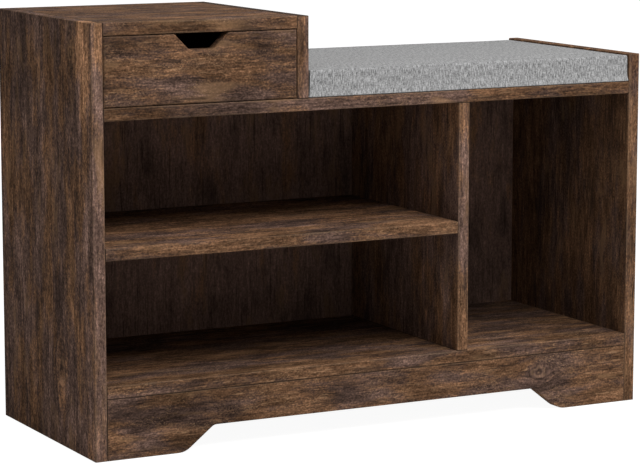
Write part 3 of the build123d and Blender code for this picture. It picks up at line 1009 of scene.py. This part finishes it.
@dataclass
class Carcass:
    """The boards that make up the cabinet, with its back boards."""

    boards: dict[str, RusticFoil] = field(init=False)

    # Patches and knots of the boards, placed across the width and along the grain, in metres; the patches
    # of the shelf, the bottom panel and the back boards are painted light and shade
    left_patches = (
        Patch(-0.120, 0.450, 0.020, 0.070, 1.8),
        Patch(-0.120, 0.330, 0.020, 0.070, 0.7),
        Patch(-0.145, 0.250, 0.006, 0.350, 0.1),
        Patch(-0.040, 0.430, 0.015, 0.080, -0.3),
        Patch(0.080, 0.410, 0.030, 0.030, -0.25),
        Patch(0.130, 0.340, 0.010, 0.080, 0.3),
        Patch(-0.030, 0.190, 0.020, 0.040, -0.3),
    )
    left_knots = (Knot(-0.085, 0.470, 0.007, 0.014), Knot(-0.045, 0.090, 0.009, 0.016))
    right_patches = (Patch(-0.145, 0.230, 0.006, 0.350, 0.1), Patch(0.0, 0.447, 0.300, 0.002, 0.9))
    divider_patches = (Patch(-0.145, 0.240, 0.006, 0.300, 0.1),)
    top_patches = (
        Patch(0.020, -0.335, 0.160, 0.025, -0.2),
        Patch(-0.145, -0.235, 0.012, 0.160, -0.1),
        Patch(-0.145, -0.210, 0.020, 0.015, 0.3),
        Patch(-0.145, -0.250, 0.020, 0.020, -0.2),
    )
    seat_patches = (
        Patch(-0.145, -0.010, 0.020, 0.020, 0.3),
        Patch(-0.145, 0.095, 0.020, 0.015, 0.3),
        Patch(-0.145, -0.260, 0.020, 0.120, -0.4),
    )
    # Painted light: a lighter band across the middle of the shelf's depth, where the shelf lies in shade
    # under the seat panel.
    shelf_painted_light = (Patch(0.0, -0.120, 0.090, 0.900, 0.6),)
    # Painted light and shade on the bay floors: the front edge lighter than the darkened floor, a dark
    # patch at the rear of the right bay as painted shade, and a light patch at its front as painted light.
    bottom_painted_light_and_shade = (
        Patch(-0.145, 0.0, 0.008, 0.600, 0.35),
        Patch(0.090, 0.260, 0.100, 0.130, -0.5),
        Patch(-0.110, 0.240, 0.035, 0.130, 0.6),
    )
    plinth_patches = (
        Patch(0.035, -0.290, 0.060, 0.090, -0.4),
        Patch(0.020, -0.335, 0.012, 0.030, 0.6),
        Patch(0.025, -0.260, 0.008, 0.030, 0.5),
        Patch(0.045, -0.185, 0.008, 0.015, -0.4),
        Patch(0.045, 0.315, 0.008, 0.025, -0.3),
        Patch(0.035, 0.290, 0.060, 0.080, 0.2),
    )
    plinth_knots = (Knot(0.050, 0.230, 0.007, 0.010),)
    # Painted shade: a dark patch low on the back boards at the rear of the right bay.
    back_painted_shade = (Patch(0.250, 0.110, 0.140, 0.100, -0.5),)

    def __post_init__(self) -> None:
        """Choose a foil for each board: grain, seed, tone, contrast, warmth, flecks, then its marks."""
        upright, level = Grain.ALONG_Z, Grain.ALONG_X
        ends_x = ((0, -1), (0, 1))
        ends_z = ((2, -1), (2, 1))
        plinth_seams = (*ends_x, (2, 1))
        # The tones are matched board by board to how bright each board shows under this light, so besides
        # the boards' own colour they hold painted light and shade: the bottom panel is darkened as painted
        # shade in the bays, the back boards are lightened as painted light where little light reaches them,
        # and the other boards' tones are likewise set lighter or darker for the light each one gets.
        self.boards = {
            "left_side_panel": RusticFoil(
                upright, 3.1, 1.10, 1.30, -0.04, 0.6, self.left_patches, self.left_knots
            ),
            "right_side_panel": RusticFoil(upright, 5.7, 0.88, 1.1, 0.04, 0.6, self.right_patches),
            "divider_panel": RusticFoil(
                upright, 8.3, 1.25, 1.0, 0.0, 0.6, self.divider_patches, seams=ends_z
            ),
            "drawer_box_side": RusticFoil(upright, 11.9, 1.4, 1.1, -0.03, 0.6, seams=ends_z),
            "drawer_box_top": RusticFoil(level, 14.2, 0.86, 1.6, 0.02, 1.0, self.top_patches, seams=ends_x),
            "seat_panel": RusticFoil(level, 17.6, 0.95, 1.3, 0.0, 0.9, self.seat_patches, seams=ends_x),
            "middle_shelf": RusticFoil(level, 20.4, 0.95, 1.5, 0.0, 0.9, self.shelf_painted_light, seams=ends_x),
            "bottom_panel": RusticFoil(
                level, 23.8, 0.69, 1.45, 0.0, 0.9, self.bottom_painted_light_and_shade, seams=ends_x
            ),
            "plinth_board": RusticFoil(
                level, 26.1, 0.96, 1.15, 0.02, 1.05, self.plinth_patches, self.plinth_knots, plinth_seams
            ),
            "back_board": RusticFoil(upright, 29.5, 1.5, 0.65, -0.12, 0.2, self.back_painted_shade),
            "drawer_box_back": RusticFoil(upright, 32.7),
        }

    def dress(self) -> None:
        """Give every board its foil."""
        dress_boards(self.boards)


@dataclass
class Fittings:
    """The cams, bolts, dowels and screws of the cabinet and the drawer, and the roller runners."""

    zinc: CoatedMetal = CoatedMetal((0.55, 0.55, 0.56), 1.0, 0.42)
    steel: CoatedMetal = CoatedMetal((0.62, 0.62, 0.63), 1.0, 0.30)
    coat: CoatedMetal = CoatedMetal((0.70, 0.70, 0.68), 0.0, 0.40)
    nylon: TurnedNylon = TurnedNylon()
    beech: RawBeech = RawBeech()

    cams = ("cabinet_cam_locks", "drawer_cam_locks")
    bolts = ("cabinet_cam_bolts", "drawer_cam_bolts")
    screws = ("cabinet_runner_screws", "drawer_back_screws", "drawer_runner_screws")
    dowels = ("cabinet_dowels", "drawer_dowels")
    runners = ("cabinet_runner_left", "cabinet_runner_right", "drawer_runner_left", "drawer_runner_right")
    rollers = ("front_roller_left", "front_roller_right", "rear_roller_left", "rear_roller_right")

    def dress(self) -> None:
        """Give every fitting its metal, nylon or wood."""
        finishes = {
            self.zinc.material("cast_zinc"): self.cams,
            self.steel.material("plated_steel"): self.bolts + self.screws,
            self.beech.material("raw_beech"): self.dowels,
            self.coat.material("runner_coat"): self.runners,
            self.nylon.material("roller_nylon"): self.rollers,
        }
        for material, names in finishes.items():
            for name in names:
                dress_node(name, material)


@dataclass
class Drawer:
    """The drawer's boards."""

    boards: dict[str, RusticFoil] = field(init=False)

    # Patches placed across the front's height and along its grain, in metres
    front_patches = (
        Patch(0.455, -0.150, 0.050, 0.060, -0.3),
        Patch(0.455, -0.335, 0.015, 0.020, 0.2),
        Patch(0.460, -0.255, 0.015, 0.030, 0.3),
        Patch(0.440, -0.245, 0.005, 0.030, -0.35),
        Patch(0.480, -0.345, 0.008, 0.015, -0.3),
        Patch(0.445, -0.155, 0.006, 0.045, 0.3),
        Patch(0.475, -0.170, 0.008, 0.020, -0.3),
    )

    def __post_init__(self) -> None:
        """Choose a foil for each board: grain, seed, tone, contrast, warmth, flecks, then its marks."""
        self.boards = {
            "drawer_front": RusticFoil(Grain.ALONG_X, 41.3, 0.95, 1.15, 0.0, 0.9, self.front_patches),
            "drawer_side_left": RusticFoil(Grain.ALONG_Y, 44.6, 0.85),
            "drawer_side_right": RusticFoil(Grain.ALONG_Y, 47.2, 0.85),
            "drawer_back": RusticFoil(Grain.ALONG_X, 50.8, 0.85),
            "drawer_bottom": RusticFoil(Grain.ALONG_X, 53.4, 0.80),
        }

    def dress(self) -> None:
        """Give every board its foil."""
        dress_boards(self.boards)


@dataclass
class SeatCushion:
    """The box cushion: a woven cover swollen by its foam, on a thin base cloth. Sizes in metres."""

    end_round: float = 0.0012
    front_round: float = 0.0020
    top_round: float = 0.0040
    foot_round: float = 0.0012
    round_steps: int = 4
    cell: float = 0.007
    crown: float = 0.0010
    slack: float = 0.0004
    swell: float = 0.0020
    pressure: float = 4.0
    cloth_quality: int = 5
    frames: int = 20
    merge_decimals: int = 7
    wall_gap: float = 0.0003
    base_inset: float = 0.008
    base_thickness: float = 0.00025
    base_clearance: float = 0.000125
    base_loops: int = 24
    base_reach: float = 0.98
    base_corner_steps: int = 8
    base_least_corner: float = 0.0005
    room_low: np.ndarray = field(init=False)
    room_high: np.ndarray = field(init=False)

    def __post_init__(self) -> None:
        """Read the room that the cover has, between the boards and on the base cloth."""
        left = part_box("drawer_box_side")[1][0]
        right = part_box("right_side_panel")[0][0]
        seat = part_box("seat_panel")
        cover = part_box("cushion_cover")[1]
        foot = seat[1][2] + self.base_thickness + 2 * self.base_clearance
        self.room_low = np.array([left + self.wall_gap, seat[0][1], foot])
        self.room_high = np.array([right - self.wall_gap, cover[1], cover[2] + self.swell])

    def rounds(self) -> tuple[np.ndarray, np.ndarray]:
        """The rounding at the low and at the high end of X, Y and Z."""
        low = np.array([self.end_round, self.front_round, self.foot_round])
        return low, np.array([self.end_round, self.front_round, self.top_round])

    def grid_lines(self, low: float, high: float, round_low: float, round_high: float) -> np.ndarray:
        """Places of the grid lines along one axis, close together in the rounded ends.

        Args:
            low: the box's low end.
            high: its high end.
            round_low: the rounding at the low end.
            round_high: the rounding at the high end.

        Returns:
            The places, in metres.
        """
        share = np.linspace(0, 1, self.round_steps + 1)
        start, end = low + round_low * share, high - round_high * share[::-1]
        count = max(2, round((end[0] - start[-1]) / self.cell))
        return np.concatenate((start[:-1], np.linspace(start[-1], end[0], count + 1), end[1:]))

    def skin(self, low: np.ndarray, high: np.ndarray) -> tuple[np.ndarray, np.ndarray, np.ndarray]:
        """The grid on the six sides of a box.

        Each side is a sheet of grid points. The weave's own coordinates are (y, z) on the ends,
        (x, z) on the front and the rear, and (x, y) on the top and the base, with y counted on
        from the height of the front's upper edge, so that a yarn runs on over that edge.

        Args:
            low: the box's lowest corner.
            high: its highest corner.

        Returns:
            The points, the quads that join them, and the weave's coordinates of each point.
        """
        round_low, round_high = self.rounds()
        lines = [self.grid_lines(*ends) for ends in zip(low, high, round_low, round_high)]
        points, faces, weaves, start = [], [], [], 0
        for axis in range(3):
            first, second = [other for other in range(3) if other != axis]
            across, up = np.meshgrid(lines[first], lines[second], indexing="ij")
            rows, columns = across.shape
            corner = (np.arange(rows - 1)[:, None] * columns + np.arange(columns - 1)).ravel()
            quads = np.stack((corner, corner + columns, corner + columns + 1, corner + 1), axis=-1)
            for place, outward in ((low[axis], -1), (high[axis], 1)):
                sheet = np.empty((across.size, 3))
                sheet[:, axis] = place
                sheet[:, first], sheet[:, second] = across.ravel(), up.ravel()
                rise = high[2] - low[1] if axis == 2 else 0.0
                weaves.append(np.stack((sheet[:, first], sheet[:, second] + rise), axis=-1))
                turned = outward * (-1 if axis == 1 else 1) < 0
                points.append(sheet)
                faces.append(start + (quads[:, ::-1] if turned else quads))
                start += across.size
        return np.concatenate(points), np.concatenate(faces), np.concatenate(weaves)

    def rest_shape(self) -> bpy.types.Object:
        """The cover before it swells: a box with rounded edges and a slightly raised top.

        Each point of the box is drawn in to the box that is smaller by the rounding, and then
        pushed out again by the rounding, in the direction that it was drawn in from. The height
        is then stretched by the crown times (1 - x^4)(1 - y^4), with x and y from -1 to 1.

        Returns:
            The closed mesh, with the weave's coordinates as its UV map.
        """
        low = self.room_low + np.array([0.0, self.slack, 0.0])
        high = self.room_high - np.array([0.0, self.slack, self.swell + self.slack])
        flat, faces, weave = self.skin(low, high)
        round_low, round_high = self.rounds()
        inner = np.clip(flat, low + round_low, high - round_high)
        rounding = np.where(flat < inner, round_low, round_high)
        outward = (flat - inner) / rounding
        outward /= np.linalg.norm(outward, axis=1, keepdims=True)
        points = inner + rounding * outward
        x, y = (2 * (points[:, :2] - low[:2]) / (high - low)[:2] - 1).T
        share = (points[:, 2] - low[2]) / (high[2] - low[2])
        points[:, 2] += self.crown * share * np.clip(1 - x**4, 0, 1) * np.clip(1 - y**4, 0, 1)
        rounded = np.round(points, self.merge_decimals)
        _, keep, merged = np.unique(rounded, axis=0, return_index=True, return_inverse=True)
        piece = mesh_piece("seat_cushion", points[keep], merged.ravel()[faces])
        layer = piece.data.uv_layers.new(name="weave")
        layer.data.foreach_set("uv", weave[faces.ravel()].astype(np.float32).ravel())
        return piece

    @staticmethod
    def freeze(piece: bpy.types.Object) -> None:
        """Keep the mesh that a piece's modifiers give, and drop the modifiers.

        Args:
            piece: the piece.
        """
        graph = bpy.context.evaluated_depsgraph_get()
        mesh = bpy.data.meshes.new_from_object(piece.evaluated_get(graph))
        piece.modifiers.clear()
        piece.data = mesh
        mesh.name = piece.name

    @staticmethod
    def points_of(piece: bpy.types.Object) -> np.ndarray:
        """The places of a piece's vertices, as n by 3.

        Args:
            piece: the piece.

        Returns:
            The places, in metres.
        """
        flat = np.empty(3 * len(piece.data.vertices), np.float32)
        piece.data.vertices.foreach_get("co", flat)
        return flat.reshape(-1, 3).astype(float)

    def inflate(self, piece: bpy.types.Object) -> None:
        """Swell the cover by cloth under pressure, with its base held flat.

        No point moves further than the swell, and none leaves the room between the boards.

        Args:
            piece: the cover before it swells.
        """
        start = self.points_of(piece)
        base = np.flatnonzero(start[:, 2] < self.room_low[2] + self.foot_round)
        piece.vertex_groups.new(name="base").add(base.tolist(), 1.0, "REPLACE")
        cloth = piece.modifiers.new("swell", "CLOTH")
        settings = cloth.settings
        settings.vertex_group_mass = "base"
        settings.use_pressure = True
        settings.uniform_pressure_force = self.pressure
        settings.effector_weights.gravity = 0.0
        settings.quality = self.cloth_quality
        cloth.point_cache.frame_start = 1
        cloth.point_cache.frame_end = self.frames
        for number in range(1, self.frames + 1):
            bpy.context.scene.frame_set(number)
        self.freeze(piece)
        bpy.context.scene.frame_set(1)
        piece.vertex_groups.clear()
        moved = self.points_of(piece) - start
        length = np.linalg.norm(moved, axis=1, keepdims=True)
        log.info("the cover swelled by up to %.1f mm before the cap", 1000 * length.max())
        moved *= self.swell / np.maximum(length, self.swell)
        points = np.clip(start + moved, self.room_low, self.room_high)
        piece.data.vertices.foreach_set("co", points.astype(np.float32).ravel())
        piece.data.update()

    def cover(self) -> None:
        """Make the woven cover."""
        piece = self.rest_shape()
        self.inflate(piece)
        smooth = piece.modifiers.new("fine", "SUBSURF")
        smooth.levels = 1
        smooth.render_levels = 1
        piece.data.shade_smooth()
        piece.data.materials.append(HeatherWeave().material("heather_weave"))
        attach(piece, "cushion")
        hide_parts("cushion_cover", "cushion_foam")
        log.info("made %s, %d vertices", piece.name, len(piece.data.vertices))

    def base(self) -> None:
        """Make the base cloth: loops of a rounded rectangle that shrink to the middle.

        The innermost loop is closed by quads between its two long sides, where point k faces
        the point k before the loop's end.
        """
        low, high = (np.array(corner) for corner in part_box("cushion_base_cloth"))
        half = (high - low) / 2 - self.base_inset
        inward = np.linspace(0.0, self.base_reach, self.base_loops) * half[1]
        corner = np.clip(2 * self.base_inset - inward, self.base_least_corner, None)
        loops = rounded_loop(half[0] - inward, half[1] - inward, corner, self.base_corner_steps)
        z = np.full(loops.shape[:2] + (1,), low[2] + self.base_clearance + self.base_thickness)
        points = np.concatenate((loops + ((low + high) / 2)[:2], z), axis=-1)
        rows, columns = points.shape[:2]
        near = np.arange(columns // 2 - 1)
        far = columns - 1 - near
        middle = np.stack((near, near + 1, far - 1, far), axis=-1) + (rows - 1) * columns
        faces = np.concatenate((grid_faces(rows, columns), middle))
        piece = mesh_piece("cushion_base", points.reshape(-1, 3), faces)
        thick = piece.modifiers.new("thick", "SOLIDIFY")
        thick.thickness = self.base_thickness
        thick.offset = -1.0
        piece.data.materials.append(DustCloth().material("dust_cloth"))
        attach(piece, "cushion")
        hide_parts("cushion_base_cloth")
        log.info("made %s", piece.name)

    def build(self) -> None:
        """Make the cushion's two pieces."""
        self.cover()
        self.base()


@dataclass
class Studio:
    """The floor, the lights and the camera at the photograph's viewing angle."""

    position: Point = (-1.5526, -2.9522, 0.7297)
    yaw: float = 27.659
    pitch: float = 8.662
    focal_pixels: float = 2677.0
    image_width: float = 640.0
    sensor_width: float = 36.0
    far_clip: float = 100.0
    fill: float = 0.34
    key_power: float = 84.0
    key_azimuth: float = 12.0
    key_elevation: float = 56.0
    key_distance: float = 3.0
    key_size: float = 2.0
    floor_reach: float = 8.0
    floor_drop: float = 0.0006
    floor_bounce: float = 0.80
    floor_shown: float = 0.30
    floor_glow: float = 0.94

    def camera(self) -> None:
        """Place the camera; the lens follows from the focal length in pixels."""
        data = bpy.data.cameras.new("camera")
        data.sensor_width = self.sensor_width
        data.lens = self.focal_pixels * self.sensor_width / self.image_width
        data.clip_end = self.far_clip
        camera = bpy.data.objects.new("camera", data)
        camera.location = self.position
        camera.rotation_euler = (math.radians(90 - self.pitch), 0.0, -math.radians(self.yaw))
        bpy.context.scene.collection.objects.link(camera)
        bpy.context.scene.camera = camera

    def lamp(self) -> None:
        """One large soft lamp in front, high and a little to the right, aimed at the origin."""
        data = bpy.data.lights.new("key", "AREA")
        data.energy = self.key_power
        data.shape = "DISK"
        data.size = self.key_size
        lamp = bpy.data.objects.new("key", data)
        azimuth, elevation = math.radians(self.key_azimuth), math.radians(self.key_elevation)
        flat = self.key_distance * math.cos(elevation)
        height = self.key_distance * math.sin(elevation)
        lamp.location = (flat * math.sin(azimuth), -flat * math.cos(azimuth), height)
        lamp.rotation_euler = (math.pi / 2 - elevation, 0.0, azimuth)
        bpy.context.scene.collection.objects.link(lamp)

    def sky(self) -> None:
        """A white sky that shows at full strength and lights the object less."""
        world = bpy.data.worlds.new("sky")
        bpy.context.scene.world = world
        world.use_nodes = True
        nodes, links = world.node_tree.nodes, world.node_tree.links
        background = next(node for node in nodes if node.type == "BACKGROUND")
        background.inputs["Color"].default_value = self.grey(1.0)
        shown = self.shown_rays(nodes, links)
        strength = nodes.new("ShaderNodeMapRange")
        links.new(shown, strength.inputs["Value"])
        strength.inputs["To Min"].default_value = self.fill
        strength.inputs["To Max"].default_value = 1.0
        links.new(strength.outputs[0], background.inputs["Strength"])

    @staticmethod
    def grey(level: float) -> tuple[float, float, float, float]:
        """A grey of that level, with full cover."""
        return level, level, level, 1.0

    @staticmethod
    def shown_rays(nodes: bpy.types.Nodes, links: bpy.types.NodeLinks) -> Socket:
        """1 for a ray that shows the background by itself, in a mirror or through glass, otherwise 0.

        Args:
            nodes: the nodes of a material or of the sky.
            links: their links.

        Returns:
            The 1 or 0.
        """
        path = nodes.new("ShaderNodeLightPath")
        total = path.outputs["Is Camera Ray"]
        for name in ("Is Glossy Ray", "Is Transmission Ray"):
            most = nodes.new("ShaderNodeMath")
            most.operation = "MAXIMUM"
            links.new(total, most.inputs[0])
            links.new(path.outputs[name], most.inputs[1])
            total = most.outputs[0]
        return total

    def floor(self) -> None:
        """A wide floor, just under the object's feet."""
        reach, z = self.floor_reach, -self.floor_drop
        points = np.array([(-reach, -reach, z), (reach, -reach, z), (reach, reach, z), (-reach, reach, z)])
        floor = mesh_piece("floor", points, np.array([[0, 1, 2, 3]]))
        floor.data.materials.append(self.floor_material())

    def floor_material(self) -> bpy.types.Material:
        """A pale material that shows white, with the object's soft shadow.

        Returns:
            The material.
        """
        material = bpy.data.materials.new("pale_floor")
        material.use_nodes = True
        nodes, links = material.node_tree.nodes, material.node_tree.links
        nodes.clear()
        bounce = nodes.new("ShaderNodeBsdfDiffuse")
        bounce.inputs["Color"].default_value = self.grey(self.floor_bounce)
        shown = nodes.new("ShaderNodeBsdfDiffuse")
        shown.inputs["Color"].default_value = self.grey(self.floor_shown)
        glow = nodes.new("ShaderNodeEmission")
        glow.inputs["Strength"].default_value = self.floor_glow
        both = nodes.new("ShaderNodeAddShader")
        links.new(shown.outputs[0], both.inputs[0])
        links.new(glow.outputs[0], both.inputs[1])
        mix = nodes.new("ShaderNodeMixShader")
        links.new(self.shown_rays(nodes, links), mix.inputs[0])
        links.new(bounce.outputs[0], mix.inputs[1])
        links.new(both.outputs[0], mix.inputs[2])
        output = nodes.new("ShaderNodeOutputMaterial")
        links.new(mix.outputs[0], output.inputs["Surface"])
        return material

    def build(self) -> None:
        """Set the scene."""
        bpy.context.scene.view_settings.view_transform = "Standard"
        self.camera()
        self.lamp()
        self.sky()
        self.floor()


def main() -> None:
    """Build the scene, piece by piece."""
    logging.basicConfig(level=logging.INFO, format="%(message)s")
    Studio().build()
    Carcass().dress()
    Drawer().dress()
    Fittings().dress()
    SeatCushion().build()


if __name__ == "__main__":
    main()
